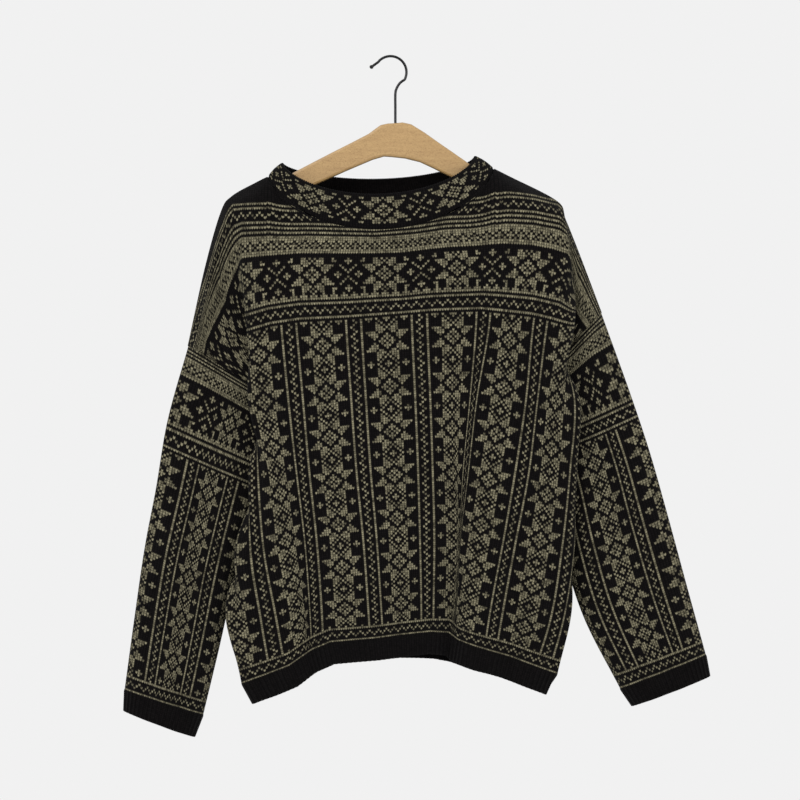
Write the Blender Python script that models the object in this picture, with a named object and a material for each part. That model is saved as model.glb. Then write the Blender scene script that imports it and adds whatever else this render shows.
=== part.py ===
"""Wool sweater hanging on a wooden hanger.

The frame is in metres with +Z up, and the garment's front faces -Y. The origin is the inner top of
the hook, where a rail touches it. Sizes in the tables are in millimetres: across is X, depth is the
distance from the hanger's plane towards the front, and height is Z.
"""
import math

import bmesh
import bpy
import numpy as np

MM = 0.001
SAME_POINT = 0.00001    # metres
SHARP_EDGE = 50         # degrees

# Cloth: thickness of the walls and the gaps at the linked seams
WALL = 2.5
BAND_WALL = 3.5
SEAM = 0.3
ARMHOLE_GAP = 0.5
HEM_GAP = 0.5
UNDERARM_GAP = 4.0

# Cloth: the fold over the shoulders, the neckline and the ribs
RIDGE_HALF = 13.0       # half the thickness just below the shoulder line
RIDGE_DROP = 8.0        # how far below the shoulder line that is
NECK_ROUND = 1.3        # above 1, the neckline is pointed rather than round
NECK_DEPTH = 47.0
BACK_NECK_DROP = 42.0
RIB_HEIGHT = 30.0
HEM_DRAW = 0.3          # how far the hem draws in for its height
RIB_RELIEF = 0.7
HEM_RIBS = 120
CUFF_RIBS = 30

# Cloth: how finely each piece is divided
SIDE_COLUMNS = 3
MIDDLE_COLUMNS = 4
RIDGE_ROWS = (0, 4, 9, 16, 28)
ARMHOLE_ROWS = 5
BODY_ROWS = 7
SLEEVE_ROWS = 10

# Hanger
BOARD_THICK = 12.0
BOARD_BEVEL = 3.0
BOARD_STEP = 0.5
WIRE = 1.65
HOOK_RADIUS = 20.3
HOOK_ACROSS = 0.6
HOOK_START = 142
HOOK_END = -28
HOOK_POINTS = 22
HOOK_TIP = (-23.5, -12)
HOOK_STEM = ((13, -32), (8.5, -39), (6.8, -46), (6.8, -62))
BALL_RADIUS = 2.6
BALL_SWEEP = (25, 140)
BALL_RINGS = 7

# Where a panel's columns run, from the wearer's right side seam to the left one
STATIONS = ("seam_l", "ear_l", "tuck_l", "edge_l", "turn_l", "flat_l", "mid_l", "centre",
            "mid_r", "flat_r", "turn_r", "edge_r", "tuck_r", "ear_r", "seam_r")

# The folded side of the body at each level: the cloth runs from the seam over the drop shoulder
# (ear), turns in at the tuck and comes back to the front edge that shows. Columns: (across, height).
LEFT_SIDE = {
    #          seam          ear           tuck          edge
    "ridge":   ((-257, -366), (-235, -266), (-215, -196), (-201, -176)),
    "yoke":    ((-213, -393), (-209, -310), (-194, -268), (-187, -259)),
    "columns": ((-145, -434), (-158, -388), (-160, -352), (-182, -336)),
    "armhole": ((-119, -450), (-121, -444), (-131, -437), (-179, -435)),
    "chest":   ((-138, -524), (-142, -524), (-159, -524), (-178, -524)),
    "waist":   ((-160, -613), (-163, -613), (-171, -613), (-179, -613)),
    "low":     ((-190, -689), (-193, -689), (-196, -689), (-200, -689)),
    "hem":     ((-176, -798), (-180, -797), (-184, -795), (-187, -793)),
}
RIGHT_SIDE = {
    "ridge":   ((269, -324), (241, -250), (223, -205), (212, -182)),
    "yoke":    ((226, -371), (234, -312), (231, -270), (224, -259)),
    "columns": ((185, -418), (198, -386), (208, -352), (234, -336)),
    "armhole": ((165, -438), (167, -435), (177, -432), (240, -435)),
    "chest":   ((180, -524), (185, -524), (209, -524), (237, -524)),
    "waist":   ((198, -613), (203, -613), (217, -613), (234, -613)),
    "low":     ((220, -689), (223, -689), (226, -689), (230, -689)),
    "hem":     ((204, -788), (207, -786), (209, -784), (211, -781)),
}

# Depth of the same four places, and of the front where it lies flat
DEPTHS = {
    #          seam  ear  tuck  edge  turn  flat  centre
    "yoke":    (11.0, 12.0, 17.0, 26.0, 34.0, 41.0, 46.0),
    "columns": (9.0, 11.0, 17.0, 29.0, 42.0, 49.0, 51.0),
    "armhole": (0.0, 9.5, 16.0, 30.0, 44.0, 51.0, 53.0),
    "chest":   (0.0, 10.5, 19.0, 31.0, 44.0, 52.0, 54.0),
    "waist":   (0.0, 10.0, 19.0, 31.0, 44.0, 52.0, 55.0),
    "low":     (0.0, 11.0, 21.0, 31.0, 42.0, 52.0, 55.0),
    "hem":     (0.0, 11.0, 21.0, 31.0, 40.0, 48.0, 52.0),
}
# Where the columns between the two edges lie, as shares of the way across
SPREAD = {
    #          turn_l flat_l mid_l centre mid_r flat_r turn_r
    "yoke":    (0.025, 0.07, 0.25, 0.43, 0.61, 0.82, 0.94),
    "columns": (0.04, 0.13, 0.29, 0.45, 0.62, 0.81, 0.95),
    "armhole": (0.05, 0.18, 0.33, 0.48, 0.64, 0.81, 0.95),
}
SPREAD_LOW = (0.05, 0.20, 0.35, 0.50, 0.65, 0.80, 0.95)
LEVEL_HEIGHT = {"yoke": -257, "columns": -333, "armhole": -435, "chest": -524, "waist": -613,
                "low": -689, "hem": -745}
LEVEL_RUN = {"ridge": 0, "round": 15, "yoke": 80, "columns": 155, "armhole": 255, "chest": 345,
             "waist": 435, "low": 510, "hem": 580}

# Where the rib starts: the hem is low at the sides and arches over the middle
FRONT_HEM = ((-187, -793), (-157, -782), (-127, -770), (-98, -750), (-75, -740), (-18, -735),
             (13, -731), (51, -727), (74, -729), (86, -738), (112, -747), (152, -759),
             (179, -769), (211, -781))
BACK_HEM = ((-187, -793), (-127, -775), (-60, -757), (13, -746), (80, -747), (152, -763),
            (211, -781))
HEM_SHARE = {"yoke": 0.0, "columns": 0.0, "armhole": 0.0, "chest": 0.08, "waist": 0.25, "low": 0.6}

# Soft folds: (across, height) of the upper end and of the lower end, depth there, half width on
# each side
FOLD_ABOVE = 0.6        # share of a fold's length over which it fades above its upper end
FOLD_BELOW = 1.1        # share of its length at which it stops getting deeper
FRONT_FOLDS = (
    # upper end    lower end    deep_up deep_low left right
    ((100, -400), (80, -760), 3.0, 20.0, 24.0, 11.0),
    ((-92, -560), (-106, -790), 1.0, 13.0, 17.0, 15.0),
    ((-40, -640), (-46, -780), 0.0, 5.0, 20.0, 20.0),
    ((30, -560), (28, -780), 0.0, 8.0, 26.0, 22.0),
    ((165, -480), (150, -780), 2.0, 9.0, 18.0, 16.0),
)
BACK_FOLDS = (
    ((-110, -420), (-95, -780), 2.0, 15.0, 20.0, 18.0),
    ((15, -500), (5, -780), 1.0, 12.0, 26.0, 22.0),
    ((120, -420), (112, -780), 2.0, 16.0, 18.0, 22.0),
)

# Sleeves below the armhole seam: outer and inner edge (across, height), and half the thickness
LEFT_SLEEVE = (
    ((-283, -463), (-154, -521), 13.0),
    ((-298, -551), (-180, -601), 19.0),
    ((-310, -613), (-196, -659), 23.0),
    ((-325, -714), (-218, -755), 25.0),
    ((-337, -802), (-237, -834), 22.0),
)
RIGHT_SLEEVE = (
    ((306, -429), (184, -486), 13.0),
    ((329, -498), (203, -552), 18.0),
    ((351, -575), (221, -633), 22.0),
    ((376, -667), (246, -711), 25.0),
    ((401, -758), (292, -801), 22.0),
)
LEFT_CUFF_END = ((-338, -829), (-248, -862))
RIGHT_CUFF_END = ((406, -785), (307, -823))

# Shoulder line between the ridge's edge and the neck's corner, which is its second point
LEFT_SHOULDER = ((-171, -159), (-155, -151))
RIGHT_SHOULDER = ((150, -150), (132, -141))
FRONT_NECK_DROP = 74.0

# Top edge of the neckband: the peaks at its ends, and how low its front and back lie
BAND_PEAKS = ((-138, -134), (109, -125))
BAND_FRONT_TOP = -176.0
BAND_BACK_TOP = -153.0
BAND_TOP_DEPTH = 44.0
BAND_ROWS = 5
CORNER_LIFT = 1.4       # how much further the band stands off the panels at the neck's corners
CORNER_REACH = 6        # how quickly that fades away from the corners

# Outline of the wooden board, half by half from the hook to the tip and back under the arm
BOARD_TOP = ((-200, -187), (-197.5, -180), (-190, -173.8), (-155, -164), (-122, -146),
             (-72, -120), (-27, -97), (-12, -86), (7, -83.5), (27, -85), (63, -109), (99, -134),
             (111, -143.5), (122, -151.5), (134, -156), (160, -163), (192, -175.7), (203, -182.4),
             (208, -191))
BOARD_BOTTOM = ((206, -199), (197, -205), (150, -183), (77, -152), (38, -133), (2, -126.5),
                (-22, -130), (-95, -162), (-150, -187), (-187, -203), (-196, -196))


def spline(knots, values, at, start=None, end=None):
    """Smooth curve through values at knots, with the slope at either end given or worked out."""
    knots = np.asarray(knots, float)
    values = np.asarray(values, float)
    step = np.diff(knots).reshape(-1, *([1] * (values.ndim - 1)))
    chord = np.diff(values, axis=0) / step
    slope = np.empty_like(values)
    slope[1:-1] = (chord[:-1] * step[1:] + chord[1:] * step[:-1]) / (step[1:] + step[:-1])
    slope[0] = chord[0] if start is None else start
    slope[-1] = chord[-1] if end is None else end
    at = np.asarray(at, float)
    span = np.clip(np.searchsorted(knots, at, side="right") - 1, 0, len(knots) - 2)
    length = (knots[span + 1] - knots[span]).reshape(-1, *([1] * (values.ndim - 1)))
    t = ((at - knots[span]) / (knots[span + 1] - knots[span])).reshape(length.shape)
    return (values[span] * (2 * t**3 - 3 * t**2 + 1) + slope[span] * length * (t**3 - 2 * t**2 + t)
            + values[span + 1] * (3 * t**2 - 2 * t**3) + slope[span + 1] * length * (t**3 - t**2))


def fold_depth(points, folds):
    """How far the soft folds push each point back towards the hanger's plane."""
    push = np.zeros(points.shape[:-1])
    for upper, lower, deep_up, deep_low, left, right in folds:
        down = (points[..., 2] - upper[1]) / (lower[1] - upper[1])
        down = np.clip(down, -FOLD_ABOVE, FOLD_BELOW)
        centre = upper[0] + (lower[0] - upper[0]) * down
        fading = deep_up * (1 + down / FOLD_ABOVE)
        deep = np.where(down < 0, fading, deep_up + (deep_low - deep_up) * down)
        away = points[..., 0] - centre
        width = np.where(away < 0, left, right)
        push += deep * np.exp(-(away / width) ** 2)
    return push


def level_points(level, hem, depth_scale):
    """One level's points at the stations, from the left seam to the right one."""
    left = LEFT_SIDE[level]
    right = RIGHT_SIDE[level]
    seam, ear, tuck, edge, turn, flat, centre = DEPTHS[level]
    low, high = left[3][0], right[3][0]
    share = HEM_SHARE.get(level, 1.0)
    hem_low = [height for _, height in hem]
    hem_at = [across for across, _ in hem]
    points = [(x, depth, z) for (x, z), depth in zip(left, (seam, ear, tuck, edge))]
    shares = SPREAD.get(level, SPREAD_LOW)
    for part, depth in zip(shares, (turn, flat, centre, centre, centre, flat, turn)):
        x = low + (high - low) * part
        sag = np.interp(x, hem_at, hem_low) - LEVEL_HEIGHT["hem"]
        points.append((x, depth, LEVEL_HEIGHT[level] + share * sag))
    points += [(x, depth, z) for (x, z), depth in zip(right[::-1], (edge, tuck, ear, seam))]
    points = np.array(points, float)
    points[:, 1] *= -depth_scale
    return points


def top_curve(at, neck_drop, side):
    """The panel's top: up one ridge and shoulder, along the neckline, and down the other side."""
    left_ridge = list(LEFT_SIDE["ridge"]) + list(LEFT_SHOULDER)
    right_ridge = list(RIGHT_SHOULDER[::-1]) + list(RIGHT_SIDE["ridge"][::-1])
    neck_l = STATIONS.index("flat_l")
    neck_r = STATIONS.index("flat_r")
    left = spline(range(neck_l + 1), left_ridge, np.clip(at, 0, neck_l))
    last = len(STATIONS) - 1
    right = spline(range(neck_r, last + 1), right_ridge, np.clip(at, neck_r, last))
    part = np.clip((at - neck_l) / (neck_r - neck_l), 0, 1)
    round_ = np.sin(np.pi * part)
    angle = math.pi * (1 - part)
    middle = (LEFT_SHOULDER[-1][0] + RIGHT_SHOULDER[-1][0]) / 2
    half = (RIGHT_SHOULDER[-1][0] - LEFT_SHOULDER[-1][0]) / 2
    corner = LEFT_SHOULDER[-1][1] + (RIGHT_SHOULDER[-1][1] - LEFT_SHOULDER[-1][1]) * part
    curve = np.empty((len(at), 3))
    curve[:, 0] = middle + half * np.cos(angle)
    curve[:, 1] = -side * NECK_DEPTH * round_
    curve[:, 2] = corner - neck_drop * round_ ** NECK_ROUND
    for ridge, where in ((left, at <= neck_l), (right, at >= neck_r)):
        curve[where, 0] = ridge[where, 0]
        curve[where, 1] = 0
        curve[where, 2] = ridge[where, 1]
    return curve, (at <= neck_l) | (at >= neck_r)


def column_places():
    """Station coordinate of each column of a panel: closer together over the middle."""
    places = [0.0]
    for span in range(len(STATIONS) - 1):
        middle = STATIONS.index("edge_l") < span < STATIONS.index("turn_r")
        count = MIDDLE_COLUMNS if middle else SIDE_COLUMNS
        places += [span + (step + 1) / count for step in range(count)]
    return np.array(places)


def row_places():
    """Distance of each row down a panel: close together over the ridge, even below it."""
    low = LEVEL_RUN["armhole"]
    armhole = np.linspace(RIDGE_ROWS[-1], low, ARMHOLE_ROWS + 1)[1:]
    body = np.linspace(low, LEVEL_RUN["hem"], BODY_ROWS + 1)[1:]
    return np.concatenate([RIDGE_ROWS, armhole, body]).astype(float)


def panel_surface(side, hem, folds, neck_drop):
    """Outer surface of the front (side 1) or back (side -1) as a grid of points in millimetres."""
    last = len(STATIONS) - 1
    across = column_places()
    top, on_ridge = top_curve(across, neck_drop, side)
    names = list(LEVEL_RUN)[2:]
    body = {}
    for name in names:
        points = level_points(name, hem, side)
        mirrored = points[1] * (1, -1, 1)
        ghosts = [None, None]
        if name not in ("yoke", "columns"):
            ghosts = [(points[1] - mirrored) / 2, None]
            mirrored = points[-2] * (1, -1, 1)
            ghosts[1] = (mirrored - points[-2]) / 2
        body[name] = spline(range(last + 1), points, across, *ghosts)
        body[name][:, 1] += side * fold_depth(body[name], folds)
    inward = body["yoke"] - top
    inward[:, 1] = 0
    inward /= np.linalg.norm(inward, axis=1)[:, None]
    rounded = top + inward * RIDGE_DROP
    rounded[:, 1] = -side * np.maximum(RIDGE_HALF, abs(top[:, 1]) + 1)
    straight = top + (body["yoke"] - top) * (LEVEL_RUN["round"] / LEVEL_RUN["yoke"])
    inside = np.minimum(across - STATIONS.index("flat_l"), STATIONS.index("flat_r") - across)
    ridge_share = np.clip(1 - inside, 0, 1)[:, None]
    ridge_share = ridge_share ** 2 * (3 - 2 * ridge_share)
    second = rounded * ridge_share + straight * (1 - ridge_share)
    over = (rounded - rounded * (1, -1, 1)) / 2 / LEVEL_RUN["round"]
    ahead = (second - top) / LEVEL_RUN["round"]
    start = np.where(on_ridge[:, None], over, ahead)
    stack = np.stack([top, second] + [body[name] for name in names])
    return spline(list(LEVEL_RUN.values()), stack, row_places(), start=start)


def normals(surface, flip, closed=False):
    """Unit normals of a grid of points; a closed grid runs round a tube."""
    grid = np.concatenate([surface[:, -1:], surface, surface[:, :1]], axis=1) if closed else surface
    down = np.gradient(grid, axis=0)
    along = np.gradient(grid, axis=1)
    normal = np.cross(along, down) * (-1 if flip else 1)
    normal /= np.linalg.norm(normal, axis=2)[:, :, None]
    return normal[:, 1:-1] if closed else normal


def offset(surface, distance, flip, closed=False):
    """The surface moved along its own normals."""
    return surface + normals(surface, flip, closed) * distance


def mesh_object(name, verts, faces, material, smooth=True):
    """An object from points in millimetres, with its faces turned outwards."""
    mesh = bpy.data.meshes.new(name)
    mesh.from_pydata([tuple(float(c) * MM for c in v) for v in verts], [], faces)
    tidy = bmesh.new()
    tidy.from_mesh(mesh)
    bmesh.ops.remove_doubles(tidy, verts=tidy.verts, dist=SAME_POINT)
    bmesh.ops.triangulate(tidy, faces=tidy.faces)
    bmesh.ops.recalc_face_normals(tidy, faces=tidy.faces)
    tidy.to_mesh(mesh)
    tidy.free()
    if smooth:
        mesh.shade_smooth()
        mesh.set_sharp_from_angle(angle=math.radians(SHARP_EDGE))
    obj = bpy.data.objects.new(name, mesh)
    obj.data.materials.append(material)
    collection.objects.link(obj)
    return obj


def wall(name, outer, inner, material, closed=False):
    """A closed wall between two grids of points; a closed wall is a tube."""
    rows, columns = outer.shape[:2]
    verts = list(outer.reshape(-1, 3)) + list(inner.reshape(-1, 3))
    back = rows * columns
    faces = []

    def at(row, column, layer):
        return layer * back + row * columns + column % columns

    for row in range(rows - 1):
        for column in range(columns if closed else columns - 1):
            for layer in (0, 1):
                face = [at(row, column, layer), at(row, column + 1, layer),
                        at(row + 1, column + 1, layer), at(row + 1, column, layer)]
                faces.append(face if layer else face[::-1])
    for column in range(columns if closed else columns - 1):
        for row in (0, rows - 1):
            faces.append([at(row, column, 0), at(row, column + 1, 0),
                          at(row, column + 1, 1), at(row, column, 1)])
    if not closed:
        for row in range(rows - 1):
            for column in (0, columns - 1):
                faces.append([at(row, column, 0), at(row + 1, column, 0),
                              at(row + 1, column, 1), at(row, column, 1)])
    return mesh_object(name, verts, faces, material)


def material(name, colour, roughness, metallic=0.0):
    """A plain Principled material."""
    made = bpy.data.materials.new(name)
    made.use_nodes = True
    shader = made.node_tree.nodes["Principled BSDF"]
    shader.inputs["Base Color"].default_value = (*colour, 1)
    shader.inputs["Roughness"].default_value = roughness
    shader.inputs["Metallic"].default_value = metallic
    return made


def seam_gap(surface, side):
    """Keep a panel, outer or inner, on its own side of the plane where front meets back."""
    surface = surface.copy()
    half = SEAM / 2
    surface[..., 1] = side * np.minimum(side * surface[..., 1], -half)
    neck_l, neck_r = neck_columns()
    surface[0, :neck_l + 1, 1] = -side * half
    surface[0, neck_r:, 1] = -side * half
    for edge in (0, -1):
        surface[armhole_end():, edge, 1] = -side * half
    return surface


def neck_columns():
    """The panel's columns at the neck's two corners."""
    places = column_places()
    return [int(np.argmin(abs(places - STATIONS.index(name)))) for name in ("flat_l", "flat_r")]


def armhole_end():
    """The last row of a panel on the armhole seam."""
    return len(RIDGE_ROWS) + ARMHOLE_ROWS - 1


def build_panels():
    """Front and back, each one wall; returns their outer and inner grids."""
    grids = {}
    for name, side, hem, folds, drop in (("front", 1, FRONT_HEM, FRONT_FOLDS, FRONT_NECK_DROP),
                                         ("back", -1, BACK_HEM, BACK_FOLDS, BACK_NECK_DROP)):
        outer = seam_gap(panel_surface(side, hem, folds, drop), side)
        inner = seam_gap(offset(outer, -WALL, side > 0), side)
        wall(name, outer, inner, knit)
        grids[name] = (outer, inner)
    return grids


def ring(front, back):
    """A loop from a front edge and a back edge that share both ends."""
    first = (front[0] + back[0]) / 2
    last = (front[-1] + back[-1]) / 2
    return np.concatenate([[first], front[1:-1], [last], back[-2:0:-1]])


def section(outer_edge, inner_edge, half, count):
    """A flattened tube's loop from its outer edge over the front to its inner edge and back."""
    outer_edge = np.array([outer_edge[0], 0.0, outer_edge[1]])
    inner_edge = np.array([inner_edge[0], 0.0, inner_edge[1]])
    angle = np.linspace(0, 2 * math.pi, count, endpoint=False)[:, None]
    middle = (outer_edge + inner_edge) / 2
    return middle + (outer_edge - inner_edge) / 2 * np.cos(angle) + [0, -half, 0] * np.sin(angle)


def positions(closed, run, at):
    """Points at given distances along a polyline."""
    return np.stack([np.interp(at, run, closed[:, axis]) for axis in range(3)], axis=1)


def build_sleeve(name, edge, table, cuff_name, cuff_end, flip):
    """One sleeve from the armhole's loop down to the cuff, and the ribbed cuff below it."""
    rows = slice(0, armhole_end() + 1)
    starts = [ring(panels["front"][layer][rows, edge], panels["back"][layer][rows, edge])
              for layer in (0, 1)]
    underarm = starts[0][armhole_end()].copy()
    upward = starts[0][0] - underarm
    upward /= np.linalg.norm(upward)
    for start, clear in zip(starts, (UNDERARM_GAP, UNDERARM_GAP + WALL)):
        start[armhole_end()] = underarm + upward * clear
    count = len(starts[0])
    sections = [section(*row, count) for row in table]
    heading = sections[0].mean(axis=0) - starts[0].mean(axis=0)
    shift = heading / np.linalg.norm(heading) * ARMHOLE_GAP
    stack = np.stack([starts[0] + shift] + sections)
    run = np.concatenate([[0], np.cumsum(np.linalg.norm(np.diff(stack.mean(axis=1), axis=0), axis=1))])
    outer = spline(run, stack, np.linspace(0, run[-1], SLEEVE_ROWS))
    inner = offset(outer, -WALL, flip, closed=True)
    inner[0] = starts[1] + shift
    wall(name, outer, inner, knit, closed=True)
    end = section(*cuff_end, table[-1][2], count)
    heading = end.mean(axis=0) - outer[-1].mean(axis=0)
    shift = heading / np.linalg.norm(heading) * SEAM
    build_rib(cuff_name, outer[-1] + shift, inner[-1] + shift, end, 2 * CUFF_RIBS, flip)


def build_rib(name, start, start_inside, end, count, flip):
    """A ribbed band between two loops, its ribs raised on the outside over a plain inside."""
    closed = np.concatenate([start, start[:1]])
    run = np.concatenate([[0], np.cumsum(np.linalg.norm(np.diff(closed, axis=0), axis=1))])
    at = np.linspace(0, run[-1], count, endpoint=False)
    top = positions(closed, run, at)
    bottom = positions(np.concatenate([end, end[:1]]), run, at)
    plain = np.stack([top, bottom])
    normal = normals(plain, flip, closed=True)
    inside = plain - normal * WALL
    inside[0] = positions(np.concatenate([start_inside, start_inside[:1]]), run, at)
    raised = (np.arange(count) % 2)[None, :, None] * RIB_RELIEF
    wall(name, plain + normal * raised, inside, rib, closed=True)


def build_hem():
    """The ribbed hem below front and back; it draws in a little towards the bottom."""
    fronts, backs = panels["front"][0], panels["back"][0]
    start = ring(fronts[-1], backs[-1])
    above = ring(fronts[-2], backs[-2])
    down = start - above
    down /= np.linalg.norm(down, axis=1)[:, None]
    middle = (start.max(axis=0) + start.min(axis=0)) / 2
    half = (start.max(axis=0) - start.min(axis=0)) / 2
    down[:, :2] -= HEM_DRAW * ((start - middle) / half)[:, :2]
    down /= np.linalg.norm(down, axis=1)[:, None]
    inside = ring(panels["front"][1][-1], panels["back"][1][-1])
    build_rib("hem_rib", start + down * HEM_GAP, inside + down * HEM_GAP, start + down * RIB_HEIGHT,
              2 * HEM_RIBS, True)


def band_top(count_front, drop_top, side):
    """One half of the neckband's top edge, from its left peak to its right one."""
    left, right = BAND_PEAKS
    part = np.linspace(0, 1, count_front)
    angle = math.pi * (1 - part)
    corner = left[1] + (right[1] - left[1]) * part
    half = np.empty((count_front, 3))
    half[:, 0] = (left[0] + right[0]) / 2 + (right[0] - left[0]) / 2 * np.cos(angle)
    half[:, 1] = -side * BAND_TOP_DEPTH * np.sin(angle)
    half[:, 2] = corner + (drop_top - (left[1] + right[1]) / 2) * np.sin(angle) ** NECK_ROUND
    return half


def build_neckband():
    """The stand-up band on the neckline, a closed ring of doubled knit."""
    neck_l, neck_r = neck_columns()
    span = slice(neck_l, neck_r + 1)
    base = ring(panels["front"][0][0, span], panels["back"][0][0, span])
    inside = ring(panels["front"][1][0, span], panels["back"][1][0, span])
    count = neck_r - neck_l + 1
    top = ring(band_top(count, BAND_FRONT_TOP, 1), band_top(count, BAND_BACK_TOP, -1))
    up = top - base
    up /= np.linalg.norm(up, axis=1)[:, None]
    near_corner = np.abs(np.cos(np.linspace(0, 2 * math.pi, len(base), endpoint=False)))[:, None]
    lift = up * (SEAM + CORNER_LIFT * near_corner ** CORNER_REACH)
    shares = np.linspace(0, 1, BAND_ROWS)[:, None, None]
    outer = (base + lift) * (1 - shares) + top * shares
    inner = offset(outer, -BAND_WALL, False, closed=True)
    inner[0] = inside + lift
    wall("neckband", outer, inner, knit, closed=True)


def build_board():
    """The hanger's wooden board, rounded along its edges."""
    outline = np.array(BOARD_TOP + BOARD_BOTTOM, float)
    closed = np.concatenate([outline[-2:], outline, outline[:3]])
    knots = np.arange(-2, len(outline) + 3)
    smooth = spline(knots, closed, np.arange(0, len(outline), BOARD_STEP))
    curve = bpy.data.curves.new("hanger_arms", "CURVE")
    curve.dimensions = "2D"
    curve.fill_mode = "BOTH"
    curve.extrude = (BOARD_THICK / 2 - BOARD_BEVEL) * MM
    curve.bevel_depth = BOARD_BEVEL * MM
    curve.bevel_resolution = 1
    curve.offset = -BOARD_BEVEL * MM
    line = curve.splines.new("POLY")
    line.points.add(len(smooth) - 1)
    for point, (x, z) in zip(line.points, smooth):
        point.co = (x * MM, z * MM, 0, 1)
    line.use_cyclic_u = True
    curve.materials.append(wood)
    board = bpy.data.objects.new("hanger_arms", curve)
    board.rotation_euler = (math.pi / 2, 0, 0)
    collection.objects.link(board)


def build_hook():
    """The bent steel hook, with a small ball on its free end."""
    top = -(HOOK_RADIUS - WIRE)
    sweep = np.radians(np.linspace(HOOK_START, HOOK_END, HOOK_POINTS))
    bend = [(HOOK_ACROSS + HOOK_RADIUS * math.cos(a), top + HOOK_RADIUS * math.sin(a)) for a in sweep]
    stem_foot = max(height for _, height in BOARD_TOP) + SEAM
    path = [HOOK_TIP] + bend + list(HOOK_STEM) + [(HOOK_STEM[-1][0], stem_foot)]
    path = spline(range(len(path)), path, np.linspace(0, len(path) - 1, 2 * len(path)))
    ball = [(math.cos(a), math.sin(a)) for a in np.radians(np.linspace(*BALL_SWEEP, BALL_RINGS))]
    heading = path[0] - path[1]
    heading /= np.linalg.norm(heading)
    points = [(path[0] + heading * BALL_RADIUS * reach, BALL_RADIUS * wide) for reach, wide in ball]
    points += [(place, WIRE) for place in path[2:]]
    curve = bpy.data.curves.new("hanger_hook", "CURVE")
    curve.dimensions = "3D"
    curve.bevel_depth = WIRE * MM
    curve.bevel_resolution = 2
    curve.use_fill_caps = True
    line = curve.splines.new("POLY")
    line.points.add(len(points) - 1)
    for point, ((x, z), radius) in zip(line.points, points):
        point.co = (x * MM, 0, z * MM, 1)
        point.radius = radius / WIRE
    curve.materials.append(steel)
    collection.objects.link(bpy.data.objects.new("hanger_hook", curve))


for old in list(bpy.data.objects):
    bpy.data.objects.remove(old)
collection = bpy.data.collections.new("wool_sweater_on_hanger")
bpy.context.scene.collection.children.link(collection)
knit = material("knit", (0.10, 0.095, 0.075), 0.95)
rib = material("rib", (0.012, 0.010, 0.011), 0.95)
wood = material("wood", (0.53, 0.34, 0.15), 0.45)
steel = material("steel", (0.05, 0.05, 0.055), 0.35, 1.0)

panels = build_panels()
build_hem()
build_neckband()
build_sleeve("sleeve_left", 0, LEFT_SLEEVE, "cuff_left", LEFT_CUFF_END, True)
build_sleeve("sleeve_right", -1, RIGHT_SLEEVE, "cuff_right", RIGHT_CUFF_END, False)
build_board()
build_hook()
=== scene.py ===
"""Looks of a wool sweater on its hanger: knitted cloth stitch by stitch, ribs, wood and steel."""
import math

import bpy
import bmesh
import numpy as np
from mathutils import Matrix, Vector


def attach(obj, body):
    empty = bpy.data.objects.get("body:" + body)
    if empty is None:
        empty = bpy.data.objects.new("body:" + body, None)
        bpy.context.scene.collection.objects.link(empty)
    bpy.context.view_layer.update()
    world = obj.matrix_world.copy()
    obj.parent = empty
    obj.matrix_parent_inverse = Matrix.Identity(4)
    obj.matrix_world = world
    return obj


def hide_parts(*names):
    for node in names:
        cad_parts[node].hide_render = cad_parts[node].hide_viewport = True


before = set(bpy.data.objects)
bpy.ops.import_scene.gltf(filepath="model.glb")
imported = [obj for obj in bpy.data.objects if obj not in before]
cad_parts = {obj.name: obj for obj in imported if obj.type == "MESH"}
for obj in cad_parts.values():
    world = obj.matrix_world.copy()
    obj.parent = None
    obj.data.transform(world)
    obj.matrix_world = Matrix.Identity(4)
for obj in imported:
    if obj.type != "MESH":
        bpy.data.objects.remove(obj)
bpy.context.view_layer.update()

MM = 0.001
STITCH = 3.175      # width of one stitch, millimetres
ROW = 2.82          # height of one row
FIRST_ROW = 136.5   # where row 0 lies, below the hook's inside
WALL = 2.5
INSIDE_STEP = 2     # the plain inside has one face to this many stitches

# The garment's measures in millimetres, as in the solids apart from the left side at waist and low,
# the seams' lower ends and the back hem: stations run from the left side seam to the right one
STATIONS = ("seam_l", "ear_l", "tuck_l", "edge_l", "turn_l", "flat_l", "mid_l", "centre",
            "mid_r", "flat_r", "turn_r", "edge_r", "tuck_r", "ear_r", "seam_r")
LAST = len(STATIONS) - 1
NECK_L, NECK_R = STATIONS.index("flat_l"), STATIONS.index("flat_r")
LEFT_SIDE = {
    # level     seam          ear           tuck          edge, as (across, height)
    "ridge":   ((-257, -366), (-235, -266), (-215, -196), (-201, -176)),
    "yoke":    ((-213, -393), (-209, -310), (-194, -268), (-187, -259)),
    "columns": ((-145, -434), (-158, -388), (-160, -352), (-182, -336)),
    "armhole": ((-119, -450), (-121, -444), (-131, -437), (-179, -435)),
    "chest":   ((-138, -524), (-142, -524), (-159, -524), (-178, -524)),
    "waist":   ((-169, -613), (-173, -613), (-184, -613), (-194, -613)),
    "low":     ((-196, -689), (-199, -689), (-202, -689), (-206, -689)),
    "hem":     ((-176, -789), (-180, -790), (-184, -792), (-187, -793)),
}
RIGHT_SIDE = {
    "ridge":   ((269, -324), (241, -250), (223, -205), (212, -182)),
    "yoke":    ((226, -371), (234, -312), (231, -270), (224, -259)),
    "columns": ((185, -418), (198, -386), (208, -352), (234, -336)),
    "armhole": ((165, -438), (167, -435), (177, -432), (240, -435)),
    "chest":   ((180, -524), (185, -524), (209, -524), (237, -524)),
    "waist":   ((198, -613), (203, -613), (217, -613), (234, -613)),
    "low":     ((220, -689), (223, -689), (226, -689), (230, -689)),
    "hem":     ((204, -777), (207, -778), (209, -780), (211, -781)),
}
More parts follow.
